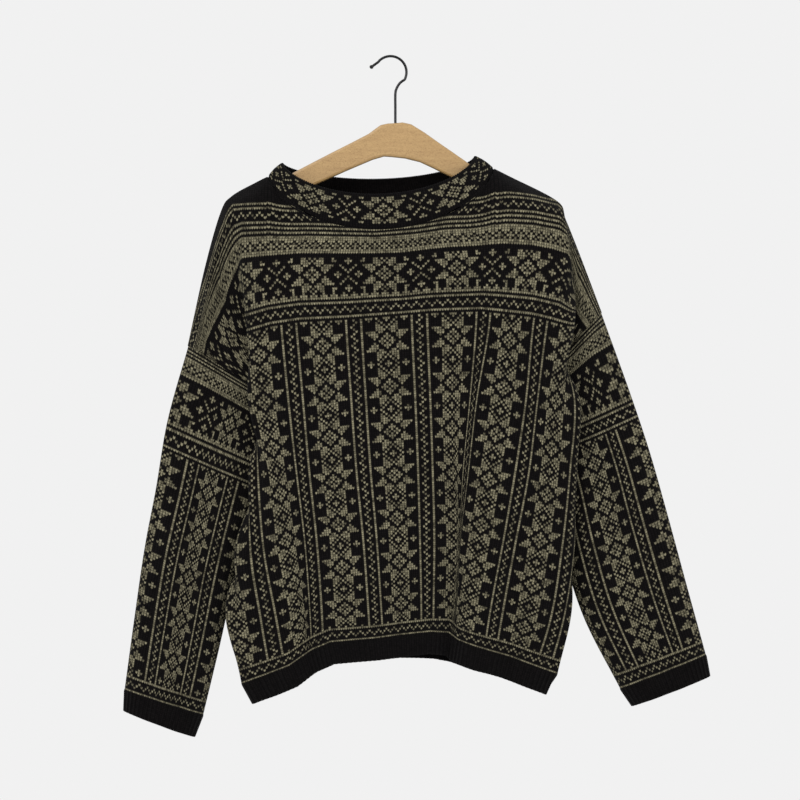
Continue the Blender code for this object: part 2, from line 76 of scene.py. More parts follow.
DEPTHS = {
    # level     seam  ear   tuck  edge  turn  flat  centre
    "yoke":    (11.0, 12.0, 17.0, 26.0, 34.0, 41.0, 46.0),
    "columns": (9.0, 11.0, 17.0, 29.0, 42.0, 49.0, 51.0),
    "armhole": (0.0, 9.5, 16.0, 30.0, 44.0, 51.0, 53.0),
    "chest":   (0.0, 10.5, 19.0, 31.0, 44.0, 52.0, 54.0),
    "waist":   (0.0, 10.0, 19.0, 31.0, 44.0, 52.0, 55.0),
    "low":     (0.0, 11.0, 21.0, 31.0, 42.0, 52.0, 55.0),
    "hem":     (0.0, 11.0, 21.0, 31.0, 40.0, 48.0, 52.0),
}
SPREAD = {
    "yoke": (0.025, 0.07, 0.25, 0.43, 0.61, 0.82, 0.94),
    "columns": (0.04, 0.13, 0.29, 0.45, 0.62, 0.81, 0.95),
    "armhole": (0.05, 0.18, 0.33, 0.48, 0.64, 0.81, 0.95),
}
SPREAD_LOW = (0.05, 0.20, 0.35, 0.50, 0.65, 0.80, 0.95)
LEVEL_HEIGHT = {"yoke": -257, "columns": -333, "armhole": -435, "chest": -524, "waist": -613,
                "low": -689, "hem": -745}
LEVEL_RUN = {"ridge": 0, "round": 15, "yoke": 80, "columns": 155, "armhole": 255, "chest": 345,
             "waist": 435, "low": 510, "hem": 580}
FRONT_HEM = ((-187, -793), (-157, -782), (-127, -770), (-98, -750), (-75, -740), (-18, -735),
             (13, -731), (51, -727), (74, -729), (86, -738), (112, -747), (152, -759),
             (179, -769), (211, -781))
BACK_HEM = ((-187, -793), (-157, -783), (-127, -771), (-98, -752), (-75, -742), (-18, -738),
            (13, -735), (60, -737), (80, -741), (112, -751), (152, -762), (179, -770), (211, -781))
HEM_SHARE = {"yoke": 0.0, "columns": 0.0, "armhole": 0.0, "chest": 0.08, "waist": 0.25, "low": 0.6}
FRONT_FOLDS = (
    # upper end    lower end    deep_up deep_low left right
    ((100, -400), (80, -760), 3.0, 20.0, 24.0, 11.0),
    ((-92, -560), (-106, -790), 1.0, 13.0, 17.0, 15.0),
    ((-40, -640), (-46, -780), 0.0, 5.0, 20.0, 20.0),
    ((30, -560), (28, -780), 0.0, 8.0, 26.0, 22.0),
    ((165, -480), (150, -780), 2.0, 9.0, 18.0, 16.0),
)
BACK_FOLDS = (
    ((-110, -420), (-95, -780), 2.0, 15.0, 20.0, 18.0),
    ((15, -500), (5, -780), 1.0, 12.0, 26.0, 22.0),
    ((120, -420), (112, -780), 2.0, 16.0, 18.0, 22.0),
)
LEFT_SHOULDER = ((-201, -176), (-189, -167), (-171, -159), (-155, -151))
RIGHT_SHOULDER = ((212, -182), (187, -164), (150, -150), (132, -141))
RIDGE_HALF = 13.0
RIDGE_DROP = 8.0
NECK_ROUND = 1.3
NECK_DEPTH = 47.0
FRONT_NECK_DROP = 74.0
BACK_NECK_DROP = 42.0
BAND_PEAKS = ((-138, -134), (109, -125))
BAND_FRONT_TOP = -176.0
BAND_BACK_TOP = -153.0
BAND_TOP_DEPTH = 44.0
BAND_WALL = 3.5
RIDGE_ROWS = (0, 4, 9, 16, 28)
ARMHOLE_ROWS = 5
UNDERARM_GAP = 4.0
EVEN_MIDDLE = -4.0      # across, where stitch 0 lies on levels without places of their own
ARMHOLE_TUCK = 1.5      # how far the sleeve reaches in under the panels' edge
TUCK_DRAW = 0.02
RIB_HEIGHT = 30.0
HEM_DRAW = 0.3
HEM_EVEN = 16           # the hem's direction is evened out over so many points to each side
LEFT_SLEEVE = (
    # outer edge    inner edge     half thickness
    ((-283, -463), (-154, -521), 13.0),
    ((-298, -551), (-180, -601), 19.0),
    ((-310, -613), (-196, -659), 23.0),
    ((-325, -714), (-218, -755), 25.0),
    ((-337, -802), (-237, -834), 22.0),
)
RIGHT_SLEEVE = (
    ((306, -429), (184, -486), 13.0),
    ((329, -498), (203, -552), 18.0),
    ((351, -575), (221, -633), 22.0),
    ((376, -667), (246, -711), 25.0),
    ((401, -758), (292, -801), 22.0),
)
LEFT_CUFF_END = ((-338, -829), (-248, -862))
RIGHT_CUFF_END = ((406, -785), (307, -823))

# Where the front's stitch columns lie: across (millimetres) and stitch number, level by level
FRONT_PLACES = {
    "yoke":    ((-187, -55.4), (224, 71.1)),
    "columns": ((-182, -56), (-128, -39), (-46, -13), (37, 13), (80, 26), (117.5, 39), (190, 65),
                (234, 79.5)),
    "armhole": ((-179, -58.5), (-118.7, -39), (-39.5, -13), (41.3, 13), (51, 16), (78.4, 26),
                (101, 36), (108.6, 42), (141, 52), (171.5, 62), (179, 65), (240, 91)),
    "chest":   ((-178, -66.3), (-174, -65), (-166.7, -62), (-110.5, -39), (-33.3, -13), (44.4, 13),
                (54, 16), (80, 26), (92.5, 36), (98.4, 42), (125.7, 52), (158, 62), (167.3, 65),
                (235, 91), (237, 92)),
    "waist":   ((-194, -74), (-167, -65), (-159.4, -62), (-128.3, -52), (-107, -42), (-100.8, -39),
                (-24.8, -13), (46, 13), (56.1, 16), (86, 27), (89.5, 44.5), (111.8, 52),
                (142.5, 62), (149, 65), (226, 91), (234, 94)),
    "low":     ((-206, -82), (-153, -65), (-143.5, -62), (-113, -52), (-101.6, -42), (-95.2, -39),
                (-19.5, -13), (47, 13), (55.2, 16), (82, 25.8), (85.5, 46.5), (98, 52),
                (128, 62), (134.4, 65), (212, 91), (230, 97)),
    "hem":     ((-187, -80), (-142, -65), (-132, -62), (-107, -52), (-99, -42), (-92.7, -39),
                (-16, -13), (47, 13), (54.5, 16), (77, 24.5), (80.5, 48.5), (90, 52), (119, 62),
                (126, 65), (192, 91), (211, 97)),
}
YOKE_MIDDLE = -7.0      # across, of stitch 0 in the yoke
YOKE_STITCH = 3.247     # width of a stitch there
# Row number at seam, ear and tuck of the levels by the shoulder
ROWS_AT = {"yoke": (50.0, 40.0, 40.0), "columns": (64.0, 64.0, 65.0), "armhole": (70.0, 88.0, 97.0)}
# How far each level's rows hang below an even count: (across, drop), in millimetres
ROW_DROPS = {
    "ridge":   ((-184, 1), (-114, 1), (-19, 3), (38, -2), (76, -8), (140, -11), (178, -10), (210, -6),
                (229, -4)),
    "yoke":    ((-187, 6), (-178, 5), (-152, 3), (-114, 0), (-51, 0), (13, -1), (51, -6), (76, -8),
                (114, -10), (140, -11), (178, -9), (203, -5), (222, 0)),
    "columns": ((-182, 18), (-152, 10), (-114, 5), (-51, 2), (13, -3), (51, -6), (76, -7), (114, -8),
                (140, -5), (178, -1), (203, 4), (229, 11)),
    "armhole": ((-179, 22), (-133, 17), (-99, 12), (-56, 5), (-18, 2), (24, -2), (60, -4), (97, -5),
                (121, -2), (161, 7), (190, 14), (221, 21), (240, 26)),
    "chest":   ((-178, 28), (-163, 27), (-94, 11), (-53, 5), (-13, 1), (25, -3), (62, -6), (95, -1),
                (108, 1), (150, 10), (178, 17), (213, 26), (237, 31)),
    "waist":   ((-187, 42), (-171, 38), (-144, 30), (-114, 18), (-86, 7), (-44, 1), (-5, -3), (65, -10),
                (83, -10), (91, 0), (132, 10), (163, 19), (202, 28), (234, 35)),
    "low":     ((-200, 48), (-184, 46), (-133, 29), (-108, 15), (-82, 4), (-40, -2), (0, -6), (65, -14),
                (81, -14), (87, -4), (122, 8), (154, 18), (190, 30), (222, 39), (230, 41)),
}
# Row number along the ridge at the tuck, ear and seam of either side
RIDGE_ROWS_AT = (("edge_l", (10.5, 13.5, 20.0)), ("edge_r", (16.5, 21.0, 26.0)))
ROUND_ROWS = 3.5
BODY_ROWS = 216
HEM_EASE = 176          # from this row down the rows ease into the hem's line
SLEEVE_ROWS = 153
SLEEVE_SHIFT = 26       # the sleeve's first row is this one of the yoke's chart
SLEEVE_BANDS = 43       # rows of the sleeve's bands; the star columns follow
# Share of the sleeve's length at these rows
LEFT_SLEEVE_RUN = ((0, 0.0), (6, 0.030), (14, 0.084), (35, 0.236), (41, 0.288), (153, 1.0))
RIGHT_SLEEVE_RUN = ((0, 0.0), (6, 0.030), (14, 0.078), (35, 0.232), (41, 0.270), (153, 1.0))
SLEEVE_STITCHES = 104
# Share of the sleeve's front half, from outer to inner edge, at these stitches
LEFT_SLEEVE_PLACES = ((0, 0.0), (10, 0.275), (16, 0.385), (36, 0.657), (42, 0.76), (52, 1.0))
RIGHT_SLEEVE_PLACES = ((0, 0.0), (10, 0.26), (16, 0.355), (36, 0.70), (42, 0.82), (52, 1.0))
BAND_STITCHES = 98
BAND_ROWS = 17

# Charts: light stitches by distance from the motif's middle row
STAR = {
    0: (1, 2, 3), 1: (0, 2, 5), 2: (0, 1, 4, 5, 6), 3: (0, 4, 5, 6, 7), 4: (2, 3, 5, 6, 7, 8),
    5: (1, 2, 3, 4), 6: (0, 2, 3, 4), 7: (1, 3, 4), 8: (2, 4), 9: (0, 3, 7),
    10: (0, 1, 4, 6, 7, 8),
}
SMALL = {
    0: (3, 4, 5), 1: (0, 4), 2: (1,), 3: (2,), 4: (3,), 5: (0,), 6: (0, 1, 5, 6), 7: (0, 6),
}
ZIGZAG = (0, 1, 2, 1)
WHOLE_MAP = (0.01, 0.01, 0.98, 0.98)
PLAIN = np.zeros((1, 1))    # dark yarn all over
V_DIP = 0.42        # how far the middle of a stitch lies below its sides, in rows
SOFT_WIDTH = 3.0    # stitches over which the neck corners are evened out, and how far that reaches
SOFT_REACH = 9.0
TINY_FACE = 0.02        # faces whose diagonals span less than this are left out
MERGE = 0.000005        # metres
FOLD_ABOVE = 0.6        # share of a fold's length over which it fades above its upper end
FOLD_BELOW = 1.1        # share at which it stops deepening below its lower end
BAND_MIDDLE = 50        # stitch of the neckband's middle star, and its row
BAND_STAR_ROW = 7
HEM_RIBS, LEFT_CUFF_RIBS, RIGHT_CUFF_RIBS = 158, 42, 44
CUFF_HALF = 22.0        # half the cuffs' depth at their ends
CUFF_POINTS = 208


def spline(knots, values, at, start=None, end=None):
    """Smooth curve through values at knots, with the slope at either end given or worked out."""
    knots = np.asarray(knots, float)
    values = np.asarray(values, float)
    step = np.diff(knots).reshape(-1, *([1] * (values.ndim - 1)))
    chord = np.diff(values, axis=0) / step
    slope = np.empty_like(values)
    slope[1:-1] = (chord[:-1] * step[1:] + chord[1:] * step[:-1]) / (step[1:] + step[:-1])
    slope[0] = chord[0] if start is None else start
    slope[-1] = chord[-1] if end is None else end
    at = np.asarray(at, float)
    span = np.clip(np.searchsorted(knots, at, side="right") - 1, 0, len(knots) - 2)
    length = (knots[span + 1] - knots[span]).reshape(-1, *([1] * (values.ndim - 1)))
    t = ((at - knots[span]) / (knots[span + 1] - knots[span])).reshape(length.shape)
    return (values[span] * (2 * t**3 - 3 * t**2 + 1) + slope[span] * length * (t**3 - 2 * t**2 + t)
            + values[span + 1] * (3 * t**2 - 2 * t**3) + slope[span + 1] * length * (t**3 - t**2))


def fold_depth(points, folds):
    """How far the soft folds push each point back towards the hanger's plane."""
    push = np.zeros(points.shape[:-1])
    for upper, lower, deep_up, deep_low, left, right in folds:
        down = np.clip((points[..., 2] - upper[1]) / (lower[1] - upper[1]), -FOLD_ABOVE, FOLD_BELOW)
        centre = upper[0] + (lower[0] - upper[0]) * down
        deep = np.where(down < 0, deep_up * (1 + down / FOLD_ABOVE),
                        deep_up + (deep_low - deep_up) * down)
        away = points[..., 0] - centre
        width = np.where(away < 0, left, right)
        push += deep * np.exp(-(away / width) ** 2)
    return push


def level_points(level, hem, side):
    """One level's points at the stations, from the left seam to the right one."""
    left, right = LEFT_SIDE[level], RIGHT_SIDE[level]
    seam, ear, tuck, edge, turn, flat, centre = DEPTHS[level]
    low, high = left[3][0], right[3][0]
    share = HEM_SHARE.get(level, 1.0)
    points = [(x, depth, z) for (x, z), depth in zip(left, (seam, ear, tuck, edge))]
    between = (turn, flat, centre, centre, centre, flat, turn)
    for part, depth in zip(SPREAD.get(level, SPREAD_LOW), between):
        x = low + (high - low) * part
        sag = np.interp(x, [p[0] for p in hem], [p[1] for p in hem]) - LEVEL_HEIGHT["hem"]
        points.append((x, depth, LEVEL_HEIGHT[level] + share * sag))
    points += [(x, depth, z) for (x, z), depth in zip(right[::-1], (edge, tuck, ear, seam))]
    points = np.array(points, float)
    points[:, 1] *= -side
    return points


def top_curve(at, neck_drop, side):
    """The panel's top: up one ridge and shoulder, along the neckline, and down the other side."""
    left_ridge = list(LEFT_SIDE["ridge"]) + list(LEFT_SHOULDER[2:])
    right_ridge = list(RIGHT_SHOULDER[:1:-1]) + list(RIGHT_SIDE["ridge"][::-1])
    left = spline(range(NECK_L + 1), left_ridge, np.clip(at, 0, NECK_L))
    right = spline(range(NECK_R, LAST + 1), right_ridge, np.clip(at, NECK_R, LAST))
    part = np.clip((at - NECK_L) / (NECK_R - NECK_L), 0, 1)
    round_ = np.sin(np.pi * part)
    angle = math.pi * (1 - part)
    middle = (LEFT_SHOULDER[-1][0] + RIGHT_SHOULDER[-1][0]) / 2
    half = (RIGHT_SHOULDER[-1][0] - LEFT_SHOULDER[-1][0]) / 2
    corner = LEFT_SHOULDER[-1][1] + (RIGHT_SHOULDER[-1][1] - LEFT_SHOULDER[-1][1]) * part
    curve = np.empty((len(at), 3))
    curve[:, 0] = middle + half * np.cos(angle)
    curve[:, 1] = -side * NECK_DEPTH * round_
    curve[:, 2] = corner - neck_drop * round_ ** NECK_ROUND
    for ridge, where in ((left, at <= NECK_L), (right, at >= NECK_R)):
        curve[where, 0] = ridge[where, 0]
        curve[where, 1] = 0
        curve[where, 2] = ridge[where, 1]
    return curve, (at <= NECK_L) | (at >= NECK_R)


def panel_levels(side, hem, folds, neck_drop, across):
    """The panel's levels from ridge to hem as curves, and the slope at its top."""
    top, on_ridge = top_curve(across, neck_drop, side)
    body = []
    for name in list(LEVEL_RUN)[2:]:
        points = level_points(name, hem, side)
        ghosts = [None, None]
        if name not in ("yoke", "columns"):
            ghosts = [(points[1] - points[1] * (1, -1, 1)) / 2,
                      (points[-2] * (1, -1, 1) - points[-2]) / 2]
        curve = spline(range(LAST + 1), points, across, *ghosts)
        curve[:, 1] += side * fold_depth(curve, folds)
        body.append(curve)
    inward = body[0] - top
    inward[:, 1] = 0
    inward /= np.linalg.norm(inward, axis=1)[:, None]
    rounded = top + inward * RIDGE_DROP
    rounded[:, 1] = -side * np.maximum(RIDGE_HALF, abs(top[:, 1]) + 1)
    straight = top + (body[0] - top) * (LEVEL_RUN["round"] / LEVEL_RUN["yoke"])
    share = np.clip(1 - np.minimum(across - NECK_L, NECK_R - across), 0, 1)[:, None]
    share = share ** 2 * (3 - 2 * share)
    second = rounded * share + straight * (1 - share)
    over = (rounded - rounded * (1, -1, 1)) / 2
    slope = np.where(on_ridge[:, None], over, second - top)
    return np.stack([top, second] + body), slope


def row_of(level, across, height):
    """Row number of a panel's points at a level."""
    places, drops = np.array(ROW_DROPS[level], float).T
    return (-height - FIRST_ROW - np.interp(across, places, drops)) / ROW


def panel_grid(side, hem, folds, neck_drop, creases):
    """Points of a panel for each half stitch and row, with their stitch and row numbers."""
    across = np.linspace(0, LAST, LAST * 24 + 1)
    levels, slope = panel_levels(side, hem, folds, neck_drop, across)
    top = levels[0]
    edges = (STATIONS.index("edge_l"), STATIONS.index("edge_r"))
    middle = (across >= edges[0]) & (across <= edges[1])
    names = list(LEVEL_RUN)
    numbers = np.empty(levels.shape[:2])
    for index, name in enumerate(names):
        curve = levels[index]
        step = np.linalg.norm(np.diff(curve, axis=0), axis=1)
        run = np.concatenate([[0], np.cumsum(step)]) / STITCH
        zero = np.interp(EVEN_MIDDLE, curve[middle, 0], run[middle])
        numbers[index] = run - zero
        if name in ("ridge", "round"):
            numbers[index][middle] = (levels[0][middle, 0] - YOKE_MIDDLE) / YOKE_STITCH
        elif side > 0:
            places = np.array(FRONT_PLACES[name])
            numbers[index][middle] = np.interp(curve[middle, 0], places[:, 0], places[:, 1])
        first, last = np.flatnonzero(middle)[[0, -1]]
        numbers[index][:first] = numbers[index][first] - (run[first] - run[:first])
        numbers[index][last + 1:] = numbers[index][last] + run[last + 1:] - run[last]
    rows = np.empty(levels.shape[:2])
    rows[0] = row_of("ridge", top[:, 0], top[:, 2])
    outward = np.maximum(np.maximum(edges[0] - across, across - edges[1]), 0)
    for place, numbers_at in RIDGE_ROWS_AT:
        edge = STATIONS.index(place)
        at_edge = np.interp(edge, across, rows[0])
        beside = np.interp(outward, range(4), (at_edge, *numbers_at))
        rows[0] = np.where((outward > 0) & (abs(across - edge) <= 3), beside, rows[0])
    for index, name in enumerate(names[2:-1], start=2):
        rows[index] = row_of(name, levels[index][:, 0], levels[index][:, 2])
        at_edges = np.interp(edges, across, rows[index])
        for at_edge, away in zip(at_edges, (edges[0] - across, across - edges[1])):
            seam, ear, tuck = ROWS_AT.get(name, (at_edge, at_edge, at_edge))
            beside = np.interp(away, range(4), (at_edge, tuck, ear, seam))
            rows[index] = np.where(away > 0, beside, rows[index])
    rows[-1] = BODY_ROWS
    inside = rows[0] + (rows[2] - rows[0]) * (LEVEL_RUN["round"] / LEVEL_RUN["yoke"])
    share = np.clip(1 - np.minimum(across - NECK_L, NECK_R - across), 0, 1)
    rows[1] = (rows[0] + ROUND_ROWS + outward) * share + inside * (1 - share)
    low, high = math.floor(numbers.min() * 2) / 2, math.ceil(numbers.max() * 2) / 2
    columns = np.arange(low, high + 0.25, 0.5)
    lines = np.arange(BODY_ROWS + 1, dtype=float)
    grid = np.empty((len(lines), len(columns), 3))
    for index, column in enumerate(columns):
        stack = [[np.interp(column, numbers[k], levels[k][:, axis]) for axis in range(3)]
                 for k in range(len(names))]
        knots = [np.interp(column, numbers[k], rows[k]) for k in range(len(names))]
        for k in range(1, len(knots)):
            knots[k] = max(knots[k], knots[k - 1] + 1.0)
        begin = [np.interp(column, numbers[0], slope[:, axis]) for axis in range(3)]
        begin = np.array(begin) / (knots[1] - knots[0])
        dip = V_DIP if column == round(column) else 0.0
        at = np.clip(lines + dip, knots[0], knots[-1])
        grid[:, index] = spline(knots, stack, at, start=begin)
    for corner in (NECK_L, NECK_R):
        soften(grid, columns, np.interp(corner, across, numbers[0]))
    inner = (columns >= numbers[-1][first]) & (columns <= numbers[-1][last])
    follow_hem(grid, hem, inner)
    grid[..., 1] += side * fold_depth(grid, creases)
    return grid, columns, lines


def follow_hem(grid, hem, inner):
    """Eases the last rows of the inner columns so that their edge lies on the hem's line."""
    places, heights = np.array(hem, float).T
    shift = np.where(inner, np.interp(grid[-1, :, 0], places, heights) - grid[-1, :, 2], 0.0)
    share = np.clip((np.arange(len(grid)) - HEM_EASE) / (BODY_ROWS - HEM_EASE), 0, 1)[:, None]
    grid[..., 2] += shift * share ** 2 * (3 - 2 * share)


def soften(grid, columns, corner):
    """Evens out the depth of a panel beside a corner of its neckline."""
    away = columns - corner
    even = np.empty_like(grid[..., 1])
    for index, column in enumerate(columns):
        weight = np.exp(-((columns - column) / SOFT_WIDTH) ** 2)
        even[:, index] = grid[..., 1] @ weight / weight.sum()
    below = np.clip((np.arange(len(grid)) - 3) / 8, 0, 1)[:, None]
    near = np.exp(-(away / SOFT_REACH) ** 4) * below
    grid[..., 1] += (even - grid[..., 1]) * near


def normals(grid, side=0):
    """Unit normals of a grid: of a panel on one side of the hanger, or of a tube if side is 0."""
    wide = grid if side else np.concatenate([grid[:, -1:], grid, grid[:, :1]], axis=1)
    normal = np.cross(np.gradient(wide, axis=1), np.gradient(wide, axis=0))
    if not side:
        normal = normal[:, 1:-1]
    length = np.linalg.norm(normal, axis=2)[:, :, None]
    normal = np.where(length > 1e-9, normal / np.maximum(length, 1e-9), 0.0)
    away = np.array([0.0, -side, 0.0]) if side else grid - grid.mean(axis=1, keepdims=True)
    return normal * (1 if (normal * away).sum() > 0 else -1)


def star_at(chart, across, away):
    """Whether each stitch of a motif is light, by its distances from the motif's middle."""
    lit = np.zeros(across.shape, bool)
    for row, places in chart.items():
        lit |= (away == row) & np.isin(across, places)
    return lit


def star_band(stitch, row, half):
    """A band of stars with small motifs between them, 28 stitches to a repeat."""
    star = abs((stitch + 14) % 28 - 14)
    small = abs(stitch % 28 - 14)
    away = abs(row)
    lit = star_at(STAR, star, away) & (star <= 8)
    plus = ((star == 10) & (away <= 1)) | ((abs(star - 10) == 1) & (away == 0))
    return (lit | star_at(SMALL, small, away) | plus) & (away <= half)


def yoke_bands(stitch, row):
    """The bands across the yoke, from row 18 to row 68."""
    lit = np.isin(row, (18, 20, 26, 28, 30, 61, 67))
    lit |= (row >= 22) & (row <= 24) & (np.take(ZIGZAG, stitch % 4) == row - 22)
    lit |= np.isin(row, (32, 33, 38, 39))
    lit |= (row == 34) & (stitch % 4 != 0)
    lit |= np.isin(row, (35, 37)) & (stitch % 2 == 0)
    lit |= (row == 36) & (stitch % 4 != 2)
    lit |= (row >= 42) & (row <= 56) & star_band(stitch, row - 49, 7)
    lit |= (row == 57) & (stitch % 4 == 0)
    lit |= (row == 58) & (stitch % 4 != 2)
    lit |= row == 59
    lit |= (row >= 63) & (row <= 65) & (np.take(ZIGZAG, stitch % 4) == row - 63)
    return lit


def star_columns(stitch, row, middle_row):
    """Upright star columns between pairs of lines with a zigzag, 26 stitches to a repeat."""
    place = (stitch + 13) % 26 - 13
    across = abs(place)
    away = abs((row - middle_row + 10) % 20 - 10)
    lit = star_at(STAR, across, away) & (across <= 9)
    lit |= across == 10
    lit |= (across >= 12) & (np.take(ZIGZAG, row % 4) == (place - 12) % 26)
    return lit


def hem_bands(stitch, row):
    """The last seven rows above a rib: a zigzag between two lines."""
    lit = np.isin(row, (0, 6))
    return lit | (row >= 2) & (row <= 4) & (np.take(ZIGZAG, stitch % 4) == row - 2)


def body_yarn(stitch, row):
    """Whether a body stitch is light."""
    hem = BODY_ROWS - 7
    return ((row < 69) & yoke_bands(stitch, row)
            | (row >= 69) & (row < hem) & star_columns(stitch, row, 79)
            | (row >= hem) & hem_bands(stitch, row - hem))


def sleeve_yarn(stitch, row):
    """Whether a sleeve stitch is light: the yoke's lower bands, then columns down to the cuff."""
    cuff = SLEEVE_ROWS - 7
    return ((row < SLEEVE_BANDS) & yoke_bands(stitch, row + SLEEVE_SHIFT)
            | (row >= SLEEVE_BANDS) & (row < cuff) & star_columns(stitch, row, SLEEVE_BANDS + 10)
            | (row >= cuff) & hem_bands(stitch, row - cuff))


def band_yarn(stitch, row):
    """Whether a stitch of the neckband is light."""
    return star_band(stitch - BAND_MIDDLE, row - BAND_STAR_ROW, 6)


class Cloth:
    """Collects grids of faces with their yarn and their stitch numbers, and makes one object."""

    def __init__(self, name):
        self.name = name
        self.points, self.faces, self.yarn, self.stitch, self.place = [], [], [], [], []
        self.count = 0

    def add(self, grid, yarn, stitch, row, window, facing, closed=False):
        """One grid: yarn by face, stitch by column, row by line, and its window of the map."""
        lines, columns = grid.shape[:2]
        index = np.arange(lines * columns).reshape(lines, columns) + self.count
        if closed:
            index = np.concatenate([index, index[:, :1]], axis=1)
        corners = [index[:-1, :-1], index[1:, :-1], index[1:, 1:], index[:-1, 1:]]
        across = np.stack([stitch[:-1], stitch[:-1], stitch[1:], stitch[1:]], axis=-1)
        down = np.stack([row[:-1], row[1:], row[1:], row[:-1]], axis=-1)
        shape = (len(row) - 1, len(stitch) - 1, 4)
        across = np.broadcast_to(across[None], shape)
        down = np.broadcast_to(down[:, None], shape)
        faces = np.stack(corners, axis=-1)
        flat = grid.reshape(-1, 3)
        quad = flat[faces - self.count]
        turned = np.cross(quad[:, :, 2] - quad[:, :, 0], quad[:, :, 3] - quad[:, :, 1])
        if (turned * facing[:-1, :turned.shape[1]]).sum() < 0:
            faces, across, down = faces[..., ::-1], across[..., ::-1], down[..., ::-1]
        keep = np.linalg.norm(turned, axis=-1) > TINY_FACE
        left, low, wide, high = window
        place = np.stack([left + wide * (across - stitch[0]) / (stitch[-1] - stitch[0]),
                          low + high * (1 - (down - row[0]) / (row[-1] - row[0]))], axis=-1)
        self.points.append(flat)
        self.faces.append(faces[keep])
        self.yarn.append(np.broadcast_to(yarn, keep.shape)[keep].astype(float))
        self.stitch.append(np.stack([across, down], axis=-1)[keep])
        self.place.append(place[keep])
        self.count += len(flat)

    def make(self, material, smooth_angle=None):
        """The object, with doubled points merged."""
        points = np.concatenate(self.points) * MM
        faces = np.concatenate(self.faces)
        mesh = bpy.data.meshes.new(self.name)
        mesh.from_pydata(points.tolist(), [], faces.tolist())
        for name, data in (("OFBake", self.place), ("stitch", self.stitch)):
            layer = mesh.uv_layers.new(name=name)
            layer.data.foreach_set("uv", np.concatenate(data).reshape(-1).astype(np.float32))
        mesh.uv_layers.active = mesh.uv_layers["OFBake"]
        yarn = mesh.attributes.new("yarn", "FLOAT", "FACE")
        yarn.data.foreach_set("value", np.concatenate(self.yarn).astype(np.float32))
        tidy = bmesh.new()
        tidy.from_mesh(mesh)
        bmesh.ops.remove_doubles(tidy, verts=tidy.verts, dist=MERGE)
        loose = [v for v in tidy.verts if not v.link_faces]
        bmesh.ops.delete(tidy, geom=loose, context="VERTS")
        tidy.to_mesh(mesh)
        tidy.free()
        mesh.shade_smooth()
        made = bpy.data.objects.new(self.name, mesh)
        made.data.materials.append(material)
        bpy.context.scene.collection.objects.link(made)
        return made


def panel(name, side, hem, folds, neck_drop, creases):
    """Front or back: stitched outside and a plain inside."""
    grid, columns, lines = panel_grid(side, hem, folds, neck_drop, creases)
    row, stitch = np.meshgrid(np.arange(BODY_ROWS), np.floor(columns[:-1] + 0.25 + 0.5).astype(int),
                              indexing="ij")
    cloth = Cloth(name)
    normal = normals(grid, side)
    cloth.add(grid, body_yarn(stitch, row), columns, lines, WHOLE_MAP, normal)
    few = (slice(None, None, INSIDE_STEP), slice(None, None, 2 * INSIDE_STEP))
    inside = Cloth(name + "_inside")
    inside.add((grid - normal * WALL)[few], PLAIN, columns[few[1]], lines[few[0]], WHOLE_MAP,
               -normal[few])
    return cloth.make(knit), inside.make(knit), grid


def ring(front, back):
    """A loop from a front edge and a back edge that share both ends."""
    first = (front[0] + back[0]) / 2
    last = (front[-1] + back[-1]) / 2
    return np.concatenate([[first], front[1:-1], [last], back[-2:0:-1]])


def section(outer_edge, inner_edge, half, count):
    """A flattened tube's loop from its outer edge over the front to its inner edge and back."""
    outer_edge = np.array([outer_edge[0], 0.0, outer_edge[1]])
    inner_edge = np.array([inner_edge[0], 0.0, inner_edge[1]])
    angle = np.linspace(0, 2 * math.pi, count, endpoint=False)[:, None]
    middle = (outer_edge + inner_edge) / 2
    return middle + (outer_edge - inner_edge) / 2 * np.cos(angle) + [0, -half, 0] * np.sin(angle)


def closed_spline(loop, at):
    """Smooth points of a closed loop at places counted in its own points."""
    wide = np.concatenate([loop[-3:], loop, loop[:4]])
    return spline(np.arange(-3, len(loop) + 4), wide, at)


